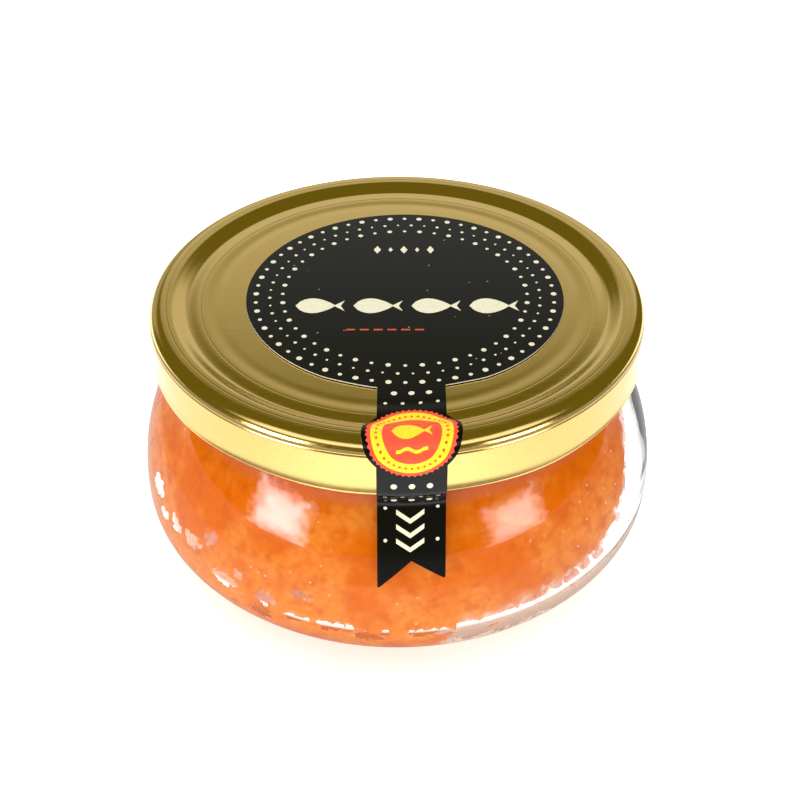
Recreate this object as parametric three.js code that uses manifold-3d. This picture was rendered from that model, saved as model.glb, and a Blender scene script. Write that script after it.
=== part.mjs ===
// A squat glass jar of fish roe, shut by a gold lug cap, with a black die-cut label that runs
// from the cap down onto the glass. Millimetres, +Z up. The origin is the middle of the base,
// on the surface that the jar stands on, and the strip of the label faces -Y.

import * as THREE from "three";
import { mergeVertices } from "three/addons/utils/BufferGeometryUtils.js";
import Module from "manifold-3d";

// Cap: an 82 mm lug cap of gold lacquered tinplate.
const skirtRadius = 42.6;
const skirtTopZ = 48.5;
const skirtBottomZ = 40.5;
const panelRadius = 33.75;
const panelRise = 1.0; // the panel above the skirt's top
const panelRound = 1.2; // how far the panel's edge takes to turn down
const grooveRadius = 36.1; // bottom of the shallow groove round the panel
const grooveRise = 0.93;
const wallRound = 0.35; // how far the wall outside the groove takes to turn at its foot and its top
const beadStartRadius = 38.8; // top of that wall
const beadCrestRadius = 40.3;
const beadRise = 1.98; // the bead's crest above the skirt's top
const sheet = 0.45; // thicker than real tinplate, so that the solid stays sound
const curlRadius = 0.65;
const curlStart = 0.12; // in half turns, where the curl leaves the skirt
const curlTurn = 1.1; // in half turns, how far it is rolled
const skirtFlare = 0.25; // the curl's outside beyond the skirt
const lugCount = 8;
const lugReach = 1.2; // how far a lug stands in from the curl
const lugLift = 0.45; // how much the edge rises between two lugs
const lugTurn = THREE.MathUtils.degToRad(-12); // from the middle of the front

// Glass jar: a round belly, a heavy base and a short finish under the cap.
const bellyRadius = 46.2;
const bellyZ = 15.6;
const neckRadius = 37.0; // where the shoulder's curve would end, level with the skirt's edge
const shoulderPower = 2.13;
const heelDepth = 17.1; // from the belly down to the foot of the heel's curve, just under the base
const heelPower = 2.42;
const glassWall = 2.4;
const glassFloor = 4.2;
const restWidth = 3.2; // of the flat ring that the jar stands on
const pushUp = 1.2;
const pushUpRun = 3.0; // how far in from the ring the base reaches its full push-up
const finishRadius = 38.5;
const finishStep = 0.9; // the finish above its bead stands out by this
const finishBeadRadius = 40.6;
const finishBeadZ = 43.6;
const finishBeadFace = 0.5; // half of the bead's upright face
const finishBeadSlope = 0.8; // height of the slope on each side of it
const lip = 0.6; // bevel of the mouth
const mouthRadius = 36.7; // inside
const mouthZ = 48.8;

// Label: paper with a gloss film, one piece: a disc, a strip with a round bulge and a forked end.
const paper = 0.2;
const labelGap = 0.14; // clear of the cap and the glass
const discRadius = 27.35;
const discX = 1.35;
const discY = -0.1;
const stripOverlap = 6; // how far the strip reaches in under the disc's edge
const stripX = 2.3;
const stripWidth = 10.8;
const bulgeRadius = 7.7;
const sealRadius = 6.75;
const sealTooth = 0.35;
const sealGap = 0.12;
const sealPastCrest = -0.3; // along the strip, from the bead's crest to the seal's middle
const forkPastCrest = 29.4; // to the two tips of the strip's end, on average
const forkSkew = 0.7; // how much further down the left tip is, and the right one less
const forkDepth = 4.2;
const tuck = new THREE.Vector2(39.6, 38.0); // corner under the skirt that the strip is pressed into
const contactZ = 36.4; // from here down the strip lies on the glass

// Roe: grains a little over a millimetre, pressed against the glass except where air is trapped.
const roeGap = 0.3;
const roeTopZ = 46.2;
const roeFlat = 0.3; // the flat of its foot, as a share of its lowest ring
const roeDome = 0.1; // rise of the top for each ring towards its middle
const grain = 1.1;
const clingPatch = 5.5; // usual size of a patch of air or of a clump on the glass
const pocketDepth = 2.3;
const lowDepth = 1.2; // how much further back the roe stands at its foot

// Facets.
const turns = 56;
const capCurveSteps = 4;
const heelSteps = 7;
const shoulderSteps = 5;
const bowlSteps = 6;
const discFacets = 64;
const stripColumns = 6;
const bulgeLines = 18;
const tuckLines = 3;
const glassLines = 3;
const forkLines = 2;
const roeTurns = 98;
const roeSideRows = 17;
const roeTopRows = 7;

const finishes = {
  glass: { color: "#f4f7f5", roughness: 0.03, metalness: 0, transparent: true, opacity: 0.3 },
  gold: { color: "#c8a95c", roughness: 0.28, metalness: 1 },
  roe: { color: "#f2781c", roughness: 0.25, metalness: 0 },
  black: { color: "#1b1b1c", roughness: 0.3, metalness: 0 },
  seal: { color: "#ffd800", roughness: 0.35, metalness: 0 },
};

const mix = THREE.MathUtils.lerp;

// 0 where x is at `from`, 1 where it is at `to`, with a soft start and end. Either may be larger.
function smooth(from, to, x) {
  const t = THREE.MathUtils.clamp((x - from) / (to - from), 0, 1);
  return t * t * (3 - 2 * t);
}

// One closed body of revolution about Z from a profile of (radius, height).
function turned(points, count = turns) {
  return new THREE.LatheGeometry(points, count).rotateX(Math.PI / 2);
}

// Radius of the glass outside at a height: the heel below the belly, the shoulder above it.
function glassRadius(z) {
  if (z < bellyZ) {
    return bellyRadius * (1 - ((bellyZ - z) / heelDepth) ** heelPower) ** (1 / heelPower);
  }
  const up = (z - bellyZ) / (skirtBottomZ - bellyZ);
  return neckRadius + (bellyRadius - neckRadius) * (1 - up ** shoulderPower);
}

// Radius of the inside of the glass, down to its floor.
function bowlRadius(z) {
  if (z >= bellyZ) return glassRadius(z) - glassWall;
  const down = (bellyZ - z) / (bellyZ - glassFloor);
  return (bellyRadius - glassWall) * (1 - down ** heelPower) ** (1 / heelPower);
}

// Height where the shoulder turns into the upright finish.
const shoulderTopZ =
  bellyZ +
  (skirtBottomZ - bellyZ) *
    (1 - (finishRadius - neckRadius) / (bellyRadius - neckRadius)) ** (1 / shoulderPower);
const bowlTopZ = shoulderTopZ - 1; // above this the inside is upright

function glassProfile() {
  const points = [];
  const add = (r, z) => points.push(new THREE.Vector2(r, z));
  const ringRadius = glassRadius(0);
  add(0, pushUp);
  add(ringRadius - restWidth - pushUpRun, pushUp);
  add(ringRadius - restWidth, 0);
  add(ringRadius, 0);
  for (let i = 1; i <= heelSteps; i++) {
    const z = bellyZ * (1 - Math.cos((i / heelSteps) * Math.PI * 0.5));
    add(glassRadius(z), z);
  }
  for (let i = 1; i <= shoulderSteps; i++) {
    const z = mix(bellyZ, shoulderTopZ, i / shoulderSteps);
    add(glassRadius(z), z);
  }
  const beadHalf = finishBeadFace + finishBeadSlope;
  add(finishRadius, finishBeadZ - beadHalf);
  add(finishBeadRadius, finishBeadZ - finishBeadFace);
  add(finishBeadRadius, finishBeadZ + finishBeadFace);
  add(finishRadius + finishStep, finishBeadZ + beadHalf);
  add(finishRadius + finishStep, mouthZ - lip);
  add(finishRadius + finishStep - lip, mouthZ);
  add(mouthRadius + lip, mouthZ);
  add(mouthRadius, mouthZ - lip);
  add(mouthRadius, skirtBottomZ);
  for (let i = shoulderSteps - 1; i >= 0; i--) {
    const z = mix(bellyZ, bowlTopZ, i / shoulderSteps);
    add(bowlRadius(z), z);
  }
  for (let i = 1; i < bowlSteps; i++) {
    const z = mix(bellyZ, glassFloor, Math.sin((i / bowlSteps) * Math.PI * 0.5));
    add(bowlRadius(z), z);
  }
  add(0, glassFloor);
  return points;
}

// The cap's outside from its middle to the foot of the skirt, `inset` in from the surface.
function capPath(inset) {
  const panelZ = skirtTopZ + panelRise - inset;
  const crestZ = skirtTopZ + beadRise - inset;
  const grooveZ = skirtTopZ + grooveRise - inset;
  const wallR = (grooveRadius + beadStartRadius) / 2;
  const path = new THREE.Path();
  path.moveTo(0, panelZ);
  path.lineTo(panelRadius, panelZ);
  path.quadraticCurveTo(panelRadius + panelRound, panelZ, grooveRadius, grooveZ);
  path.quadraticCurveTo(grooveRadius + wallRound, grooveZ, wallR, mix(grooveZ, crestZ, 0.5));
  path.quadraticCurveTo(beadStartRadius - wallRound, crestZ, beadStartRadius, crestZ);
  path.lineTo(beadCrestRadius, crestZ);
  const across = skirtRadius - beadCrestRadius - inset;
  path.absellipse(beadCrestRadius, skirtTopZ, across, beadRise - inset, Math.PI / 2, 0, true, 0);
  return path;
}

const curlZ = skirtBottomZ + curlRadius; // middle of the curl's round section
const curlR = skirtRadius + skirtFlare - curlRadius;

function capGeometry() {
  const points = capPath(0).getPoints(capCurveSteps);
  for (let i = 0; i <= capCurveSteps; i++) {
    const a = Math.PI * (curlStart - (i / capCurveSteps) * curlTurn);
    points.push(new THREE.Vector2(curlR + curlRadius * Math.cos(a), curlZ + curlRadius * Math.sin(a)));
  }
  const curlTopZ = curlZ + 1; // the skirt is plain above this
  points.push(new THREE.Vector2(skirtRadius - sheet, curlTopZ));
  points.push(...capPath(sheet).getPoints(capCurveSteps / 2).reverse());
  const cap = turned(points.reverse());
  const place = cap.getAttribute("position");
  // Between lugs the edge is drawn up a little, and at each lug the curl is pressed in.
  for (let i = 0; i < place.count; i++) {
    const z = place.getZ(i);
    if (z > curlTopZ) continue;
    const angle = Math.atan2(place.getX(i), -place.getY(i));
    const r = Math.hypot(place.getX(i), place.getY(i));
    const lug = 0.5 + 0.5 * Math.cos(lugCount * (angle - lugTurn));
    const inner = smooth(curlR + 0.2, curlR - curlRadius, r);
    const scale = (r - lugReach * lug * inner) / r;
    const lift = lugLift * (1 - lug) * smooth(curlTopZ, curlZ - curlRadius, z);
    place.setXYZ(i, place.getX(i) * scale, place.getY(i) * scale, z + lift);
  }
  return cap;
}

// The line that the strip follows: from the cap's middle over its bead and skirt, in under the
// curl to where it is pressed against the glass, and down the glass.
function stripPath() {
  const path = capPath(0);
  path.lineTo(skirtRadius + skirtFlare, curlZ);
  path.quadraticCurveTo(tuck.x, tuck.y, glassRadius(contactZ), contactZ);
  const below = [];
  for (let i = 1; i <= 6; i++) {
    const z = mix(contactZ, bellyZ, i / 6);
    below.push(new THREE.Vector2(glassRadius(z), z));
  }
  return path.splineThru(below);
}

const strip = stripPath();
const stripLength = strip.getLength();
const pathEnds = strip.getCurveLengths(); // length along the strip to the end of each of its curves
const toCrest = pathEnds[4];
const toCurl = pathEnds[6];
const toContact = pathEnds[7];
const sealAt = toCrest + sealPastCrest;

// A point of the label: `x` across, `along` from the cap's middle, `height` off the surface.
function onStrip(x, along, height) {
  const t = THREE.MathUtils.clamp(along / stripLength, 0, 1);
  const at = strip.getPointAt(t);
  const way = strip.getTangentAt(t);
  const r = at.x - way.y * height;
  const z = at.y + way.x * height;
  return new THREE.Vector3(x, -Math.sqrt(Math.max(r * r - x * x, 0)), z);
}

// A closed thin slab over a grid of (column, row), from a function for its two faces.
function slab(columns, rows, low, high, place) {
  const points = [];
  const faces = [];
  const stride = columns + 1;
  const layer = stride * (rows + 1);
  [low, high].forEach((height) => {
    for (let j = 0; j <= rows; j++) {
      for (let i = 0; i <= columns; i++) points.push(place(i / columns, j / rows, height));
    }
  });
  const quad = (a, b, c, d) => faces.push(a, b, c, a, c, d);
  for (let j = 0; j < rows; j++) {
    for (let i = 0; i < columns; i++) {
      const a = j * stride + i;
      quad(a, a + 1, a + 1 + stride, a + stride);
      quad(layer + a, layer + a + stride, layer + a + 1 + stride, layer + a + 1);
    }
  }
  for (let j = 0; j < rows; j++) {
    const a = j * stride;
    const b = a + columns;
    quad(a, a + stride, layer + a + stride, layer + a);
    quad(b, layer + b, layer + b + stride, b + stride);
  }
  for (let i = 0; i < columns; i++) {
    const a = i;
    const b = rows * stride + i;
    quad(a, layer + a, layer + a + 1, a + 1);
    quad(b, b + 1, layer + b + 1, layer + b);
  }
  const geometry = new THREE.BufferGeometry().setFromPoints(points);
  return geometry.setIndex(faces);
}

// The strip's cross lines: one on the flat panel, close together over the bulge, then from the
// skirt's foot through the tuck under it, and along the glass to where the fork starts.
function crossLines() {
  const lines = [discRadius - stripOverlap];
  for (let i = 0; i <= bulgeLines; i++) {
    lines.push(sealAt - bulgeRadius * Math.cos((i / bulgeLines) * Math.PI));
  }
  for (let i = 0; i <= tuckLines; i++) lines.push(mix(toCurl, toContact, i / tuckLines));
  const forkStart = toCrest + forkPastCrest - forkDepth - 1;
  for (let i = 1; i <= glassLines; i++) lines.push(mix(toContact, forkStart, i / glassLines));
  return lines;
}

function stripGeometry(lines) {
  const last = lines.length - 1;
  const place = (across, down, height) => {
    const row = Math.round(down * (last + forkLines));
    const side = across * 2 - 1;
    const end = toCrest + forkPastCrest - forkDepth * (1 - Math.abs(side)) - forkSkew * side;
    const along = row <= last ? lines[row] : mix(lines[last], end, (row - last) / forkLines);
    const bulge = Math.sqrt(Math.max(bulgeRadius ** 2 - (along - sealAt) ** 2, 0));
    return onStrip(stripX + side * Math.max(stripWidth / 2, bulge), along, height);
  };
  return slab(stripColumns, last + forkLines, labelGap, labelGap + paper, place);
}

function discGeometry() {
  const disc = new THREE.CylinderGeometry(discRadius, discRadius, paper, discFacets);
  disc.rotateX(Math.PI / 2);
  return disc.translate(discX, discY, skirtTopZ + panelRise + labelGap + paper / 2);
}

// The seal: a round sticker with a toothed edge, which lies on the bulge of the strip. It has the
// strip's own cross lines, so that the two bend alike.
function sealGeometry(lines) {
  const rows = lines.filter((along) => Math.abs(along - sealAt) < sealRadius);
  const place = (across, down, height) => {
    const row = Math.round(down * (rows.length - 1));
    const half = Math.sqrt(sealRadius ** 2 - (rows[row] - sealAt) ** 2) + (row % 2) * sealTooth;
    return onStrip(stripX + (across * 2 - 1) * half, rows[row], height);
  };
  const low = labelGap + paper + sealGap;
  return slab(stripColumns, rows.length - 1, low, low + paper, place);
}

// A value between 0 and 1 for a whole-numbered place, always the same for that place.
function chance(i, j, k) {
  let h = Math.imul(i, 374761393) ^ Math.imul(j, 668265263) ^ Math.imul(k, 2147483647);
  h = Math.imul(h ^ (h >>> 13), 1274126177);
  return ((h ^ (h >>> 16)) >>> 0) / 4294967296;
}

// Smooth noise between 0 and 1 over space, with lumps about one unit across.
function lumps(x, y, z) {
  const [i, j, k] = [Math.floor(x), Math.floor(y), Math.floor(z)];
  const [u, v, w] = [smooth(0, 1, x - i), smooth(0, 1, y - j), smooth(0, 1, z - k)];
  const edge = (b, c) => mix(chance(i, j + b, k + c), chance(i + 1, j + b, k + c), u);
  return mix(mix(edge(0, 0), edge(1, 0), v), mix(edge(0, 1), edge(1, 1), v), w);
}

// How far the roe stands back from the glass: clear on the right, in patches low down.
function standBack(angle, x, y, z) {
  const turn = Math.atan2(Math.sin(angle), Math.cos(angle));
  const right = smooth(0.95, 1.3, turn) * (1 - smooth(2.2, 2.6, turn));
  const low = smooth(21, 6, z);
  const patch = lumps(x / clingPatch, y / clingPatch, (z / clingPatch) * 1.3);
  const air = smooth(0.62 - 0.22 * low, 0.78 - 0.2 * low, patch) * smooth(30, 20, z);
  return pocketDepth * Math.max(right * 0.8, air) + lowDepth * low * low;
}

// Half outline of the roe: its flat foot, its side along the inside of the glass, and its top.
function roeOutline(foot) {
  const side = [];
  for (let i = 1; i <= roeSideRows; i++) {
    const z = mix(foot, roeTopZ, (i / roeSideRows) ** 1.25);
    const level = z < bellyZ ? z - roeGap : Math.min(z, bowlTopZ);
    side.push(new THREE.Vector2(bowlRadius(level) - roeGap, z));
  }
  const top = [];
  const rim = side[side.length - 1].x;
  for (let i = 1; i <= roeTopRows; i++) {
    top.push(new THREE.Vector2(rim * (1 - i / roeTopRows), roeTopZ + i * roeDome));
  }
  const bottom = new THREE.Vector2(side[0].x * roeFlat, foot);
  return [new THREE.Vector2(0, foot), bottom, ...side, ...top];
}

function roeGeometry() {
  const foot = glassFloor + roeGap;
  const heap = turned(roeOutline(foot), roeTurns);
  const place = heap.getAttribute("position");
  for (let i = 0; i < place.count; i++) {
    const [x, y, z] = [place.getX(i), place.getY(i), place.getZ(i)];
    const r = Math.hypot(x, y);
    if (r < 1e-6) continue;
    const bump = grain * 0.5 * lumps(x / grain, y / grain, z / grain);
    if (z < foot + 0.01) {
      place.setZ(i, z + bump);
      continue;
    }
    const back = standBack(Math.atan2(x, -y), x, y, z) + bump;
    const scale = (r - back) / r;
    const dent = z > roeTopZ - 0.5 ? bump : 0;
    place.setXYZ(i, x * scale, y * scale, z - dent);
  }
  return heap;
}

const wasm = await Module();
wasm.setup();

function solid(geometry) {
  const bare = geometry.clone();
  bare.deleteAttribute("normal");
  bare.deleteAttribute("uv");
  const merged = mergeVertices(bare, 1e-4);
  return new wasm.Manifold(
    new wasm.Mesh({
      numProp: 3,
      vertProperties: new Float32Array(merged.getAttribute("position").array),
      triVerts: new Uint32Array(merged.index.array),
    }),
  );
}

function geometryOf(body) {
  const mesh = body.getMesh();
  const geometry = new THREE.BufferGeometry();
  geometry.setAttribute("position", new THREE.BufferAttribute(mesh.vertProperties, 3));
  geometry.setIndex(new THREE.BufferAttribute(mesh.triVerts, 1));
  geometry.computeVertexNormals();
  return geometry;
}

function piece(name, geometry, finish) {
  const mesh = new THREE.Mesh(geometry, new THREE.MeshStandardMaterial(finish));
  mesh.name = name;
  return mesh;
}

const jar = new THREE.Group();
jar.add(piece("glass_jar", turned(glassProfile()), finishes.glass));
jar.add(piece("lug_cap", capGeometry(), finishes.gold));
jar.add(piece("roe", roeGeometry(), finishes.roe));
const lines = crossLines();
const sticker = solid(discGeometry()).add(solid(stripGeometry(lines)));
jar.add(piece("label", geometryOf(sticker), finishes.black));
jar.add(piece("seal", sealGeometry(lines), finishes.seal));

export default jar;
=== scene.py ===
import math
import random

import bmesh
import bpy
from mathutils import Matrix, Vector, noise


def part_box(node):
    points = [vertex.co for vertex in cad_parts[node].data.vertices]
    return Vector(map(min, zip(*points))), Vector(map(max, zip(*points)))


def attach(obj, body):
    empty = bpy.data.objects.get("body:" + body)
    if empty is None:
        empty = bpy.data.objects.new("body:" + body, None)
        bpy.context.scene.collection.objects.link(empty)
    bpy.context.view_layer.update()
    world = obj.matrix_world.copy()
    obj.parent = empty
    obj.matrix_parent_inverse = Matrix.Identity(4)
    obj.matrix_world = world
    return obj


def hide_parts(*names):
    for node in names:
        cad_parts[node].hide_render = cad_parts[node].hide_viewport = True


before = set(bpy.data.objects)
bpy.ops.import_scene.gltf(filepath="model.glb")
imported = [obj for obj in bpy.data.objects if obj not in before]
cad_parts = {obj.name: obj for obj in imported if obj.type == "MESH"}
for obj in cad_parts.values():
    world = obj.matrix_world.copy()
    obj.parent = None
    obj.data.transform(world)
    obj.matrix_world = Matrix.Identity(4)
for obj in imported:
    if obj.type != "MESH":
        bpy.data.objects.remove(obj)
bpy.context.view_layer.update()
toMetres = 0.001


def cadBox(node):
    low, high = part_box(node)
    return low / toMetres, high / toMetres


def smooth(low, high, x):
    t = min(max((x - low) / (high - low), 0.0), 1.0)
    return t * t * (3.0 - 2.0 * t)


def mix(a, b, t):
    return a + (b - a) * t


def hexColour(code):
    channels = [int(code[i:i + 2], 16) / 255 for i in (1, 3, 5)]
    linear = [c / 12.92 if c <= 0.04045 else ((c + 0.055) / 1.055) ** 2.4 for c in channels]
    return (*linear, 1.0)


def quadCurve(start, control, end, steps):
    points = []
    for i in range(1, steps + 1):
        t = i / steps
        points.append(tuple(
            (1 - t) ** 2 * a + 2 * t * (1 - t) * b + t * t * c
            for a, b, c in zip(start, control, end)))
    return points


def arcCurve(centre, reach, startAngle, endAngle, steps):
    points = []
    for i in range(steps + 1):
        angle = math.radians(mix(startAngle, endAngle, i / steps))
        points.append((centre[0] + reach[0] * math.cos(angle), centre[1] + reach[1] * math.sin(angle)))
    return points


# Camera, matched to the ellipses of the lid in the photograph.
camera = {
    "place": (0.000497, -0.20681, 0.18431),
    "tilt": 52.695,  # degrees up from straight down
    "lens": 64.03,
    "sensor": 36.0,
}


def makeCamera():
    data = bpy.data.cameras.new("camera")
    data.lens = camera["lens"]
    data.sensor_width = camera["sensor"]
    data.clip_start = 0.01
    view = bpy.data.objects.new("camera", data)
    view.location = camera["place"]
    view.rotation_euler = (math.radians(camera["tilt"]), 0, 0)
    bpy.context.scene.collection.objects.link(view)
    bpy.context.scene.camera = view


makeCamera()
print("camera placed")


# Materials


def newMaterial(name):
    material = bpy.data.materials.new(name)
    material.use_nodes = True
    tree = material.node_tree
    return material, tree, tree.nodes["Principled BSDF"]


# Adds a node. Each input is a plain value or another node's output socket.
def addNode(tree, kind, inputs=None, **settings):
    node = tree.nodes.new(kind)
    for name, value in settings.items():
        setattr(node, name, value)
    for name, value in (inputs or {}).items():
        if isinstance(value, bpy.types.NodeSocket):
            tree.links.new(value, node.inputs[name])
        else:
            node.inputs[name].default_value = value
    return node


def setRamp(node, stops):
    ramp = node.color_ramp
    while len(ramp.elements) < len(stops):
        ramp.elements.new(0.5)
    for element, (place, colour) in zip(ramp.elements, stops):
        element.position = place
        element.color = colour


# Mixes one colour into another by a factor.
def blendColours(tree, factor, first, second):
    node = addNode(tree, "ShaderNodeMix", {"Factor": factor}, data_type="RGBA")
    for socket, value in ((node.inputs[6], first), (node.inputs[7], second)):
        if isinstance(value, bpy.types.NodeSocket):
            tree.links.new(value, socket)
        else:
            socket.default_value = value
    return node.outputs[2]


# Maps a value's range onto another, cut off at both ends.
def remap(tree, value, fromRange, toRange, kind="LINEAR"):
    return addNode(tree, "ShaderNodeMapRange", {
        "Value": value, "From Min": fromRange[0], "From Max": fromRange[1],
        "To Min": toRange[0], "To Max": toRange[1],
    }, interpolation_type=kind).outputs["Result"]


# Soda-lime jar glass, pressed and blown: clear and colourless, with a faint waviness.
glassFinish = {"colour": "#fbfdfb", "roughness": 0.0, "ior": 1.5, "waveSize": 9.0, "waveHeight": 0.00004}


def makeGlass():
    material, tree, shader = newMaterial("sodaLimeGlass")
    shader.inputs["Base Color"].default_value = hexColour(glassFinish["colour"])
    shader.inputs["Roughness"].default_value = glassFinish["roughness"]
    shader.inputs["IOR"].default_value = glassFinish["ior"]
    shader.inputs["Transmission Weight"].default_value = 1.0
    where = addNode(tree, "ShaderNodeTexCoord")
    waves = addNode(tree, "ShaderNodeTexNoise", {
        "Vector": where.outputs["Object"],
        "Scale": 1 / (glassFinish["waveSize"] * toMetres),
        "Detail": 1.0,
    })
    bump = addNode(tree, "ShaderNodeBump", {
        "Height": waves.outputs["Fac"],
        "Distance": glassFinish["waveHeight"],
        "Strength": 1.0,
    })
    tree.links.new(bump.outputs["Normal"], shader.inputs["Normal"])
    return material


# Tinplate under a gold lacquer: rolled grain about 0.15 mm apart along X, drawn 0.3 mm so that it shows.
goldFinish = {
    "colour": "#e8c980", "deep": "#e0bf70", "roughness": 0.13, "grain": 0.3, "grainLength": 6.0,
    "grainHeight": 0.0000016, "dent": 14.0, "dentHeight": 0.00002,
}


def makeGold():
    material, tree, shader = newMaterial("goldLacquerTinplate")
    shader.inputs["Metallic"].default_value = 1.0
    where = addNode(tree, "ShaderNodeTexCoord")
    stretch = addNode(tree, "ShaderNodeMapping", {
        "Vector": where.outputs["Object"],
        "Scale": [1 / (size * toMetres) for size in
                  (goldFinish["grainLength"], goldFinish["grain"], goldFinish["grain"])],
    })
    grain = addNode(tree, "ShaderNodeTexNoise", {
        "Vector": stretch.outputs["Vector"], "Scale": 1.0, "Detail": 3.0, "Roughness": 0.6,
    })
    tint = addNode(tree, "ShaderNodeValToRGB", {"Fac": grain.outputs["Fac"]})
    setRamp(tint, [(0.3, hexColour(goldFinish["deep"])), (0.7, hexColour(goldFinish["colour"]))])
    tree.links.new(tint.outputs["Color"], shader.inputs["Base Color"])
    rough = goldFinish["roughness"]
    tree.links.new(remap(tree, grain.outputs["Fac"], (0.3, 0.7), (rough * 0.8, rough * 1.3)),
                   shader.inputs["Roughness"])
    dents = addNode(tree, "ShaderNodeTexNoise", {
        "Vector": where.outputs["Object"], "Scale": 1 / (goldFinish["dent"] * toMetres), "Detail": 1.0,
    })
    wavy = addNode(tree, "ShaderNodeBump", {
        "Height": dents.outputs["Fac"], "Distance": goldFinish["dentHeight"], "Strength": 1.0,
    })
    bump = addNode(tree, "ShaderNodeBump", {
        "Height": grain.outputs["Fac"], "Distance": goldFinish["grainHeight"], "Strength": 1.0,
        "Normal": wavy.outputs["Normal"],
    })
    tree.links.new(bump.outputs["Normal"], shader.inputs["Normal"])
    return material


# Salted fish roe, grains just over a millimetre: wet and translucent, in soft clouds of paler and deeper
# orange. Painted light on it: a paler sheen towards the bottom, a pinkish painted reflection under the
# cap's edge, painted whitish glare where the grains lie loose off the glass, and tiny painted glints of
# bright bubbles between them.
roeFinish = {
    "colour": "#f57c08", "pale": "#ff9a38", "deep": "#e86e02", "airGlare": "#ffe6d6", "capEdgeReflection": "#f2865a",
    "roughness": 0.4, "grain": 1.15, "mottle": 2.6, "cloud": 9.0, "bubbleGlint": 2.1, "capEdgeReflectionZ": (34.4, 35.9),
    "paleSheenZ": (30.0, 14.0), "specular": 0.02, "bubbleGlintColour": "#ffe9c8",
}


def makeRoe():
    material, tree, shader = newMaterial("vendaceRoe")
    shader.inputs["Roughness"].default_value = roeFinish["roughness"]
    shader.inputs["Specular IOR Level"].default_value = roeFinish["specular"]
    place = addNode(tree, "ShaderNodeTexCoord").outputs["Object"]
    size = {name: 1 / (roeFinish[name] * toMetres) for name in ("grain", "mottle", "cloud", "bubbleGlint")}
    cells = addNode(tree, "ShaderNodeTexVoronoi", {"Vector": place, "Scale": size["grain"]})
    cloud = addNode(tree, "ShaderNodeTexNoise", {"Vector": place, "Scale": size["cloud"], "Detail": 2.0})
    mottle = addNode(tree, "ShaderNodeTexNoise", {"Vector": place, "Scale": size["mottle"], "Detail": 2.0})
    height = addNode(tree, "ShaderNodeSeparateXYZ", {"Vector": place}).outputs["Z"]
    # Paler towards the bottom: a painted sheen, added to the clouds of tone.
    paleSheenZ = [z * toMetres for z in roeFinish["paleSheenZ"]]
    paleSheen = remap(tree, height, paleSheenZ, (0.0, 0.13))
    cloudAndSheen = addNode(tree, "ShaderNodeMath", {0: cloud.outputs["Fac"], 1: paleSheen}, operation="ADD")
    tone = blendColours(tree, remap(tree, cloudAndSheen.outputs[0], (0.44, 0.68), (0.0, 1.0), "SMOOTHSTEP"),
                        hexColour(roeFinish["colour"]), hexColour(roeFinish["pale"]))
    tone = blendColours(tree, remap(tree, mottle.outputs["Fac"], (0.5, 0.3), (0.0, 0.75)),
                        tone, hexColour(roeFinish["deep"]))
    tone = blendColours(tree, remap(tree, cells.outputs["Distance"], (0.4, 0.8), (0.0, 0.35)),
                        tone, hexColour(roeFinish["deep"]))
    # A pale pinkish band just under the cap's edge: a painted reflection in the glass, not a tint of the roe.
    capEdgeReflectionZ = [z * toMetres for z in roeFinish["capEdgeReflectionZ"]]
    tone = blendColours(tree, remap(tree, height, capEdgeReflectionZ, (0.0, 0.8)), tone, hexColour(roeFinish["capEdgeReflection"]))
    # Whitish where the roe lies loose: painted glare of the air gaps behind the glass, ragged at its edges.
    airGlare = addNode(tree, "ShaderNodeAttribute", attribute_name="airGlareMask").outputs["Fac"]
    ragged = addNode(tree, "ShaderNodeMath", {0: mottle.outputs["Fac"], 1: airGlare}, operation="ADD")
    airGlareMask = addNode(tree, "ShaderNodeMath", {
        0: airGlare, 1: remap(tree, ragged.outputs[0], (0.45, 1.1), (0.25, 1.0)),
    }, operation="MULTIPLY")
    tone = blendColours(tree, airGlareMask.outputs[0], tone, hexColour(roeFinish["airGlare"]))
    # Tiny bright spots between the grains: painted glints of air bubbles against the glass.
    bubbleGlints = addNode(tree, "ShaderNodeTexVoronoi", {"Vector": place, "Scale": size["bubbleGlint"]})
    spot = remap(tree, bubbleGlints.outputs["Distance"], (0.13, 0.07), (0.0, 1.0))
    some = remap(tree, cloud.outputs["Fac"], (0.5, 0.6), (0.0, 0.75))
    spots = addNode(tree, "ShaderNodeMath", {0: spot, 1: some}, operation="MULTIPLY")
    tone = blendColours(tree, spots.outputs[0], tone, hexColour(roeFinish["bubbleGlintColour"]))
    tree.links.new(tone, shader.inputs["Base Color"])
    return material


# Label paper printed solid black under a gloss film, with a few specks of dust. Its cut edge is white.
labelFinish = {
    "colour": "#0a0a09", "roughness": 0.16, "gloss": 0.22, "wrinkle": 2.6, "wrinkleHeight": 0.00004,
    "dust": 4.5, "dustColour": "#9a978c", "edge": "#d9d5c6", "edgeRoughness": 0.8, "fibre": 0.4,
    "smoothAboveZ": 41.0, "wrinkledBelowZ": 37.0,
}


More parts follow.
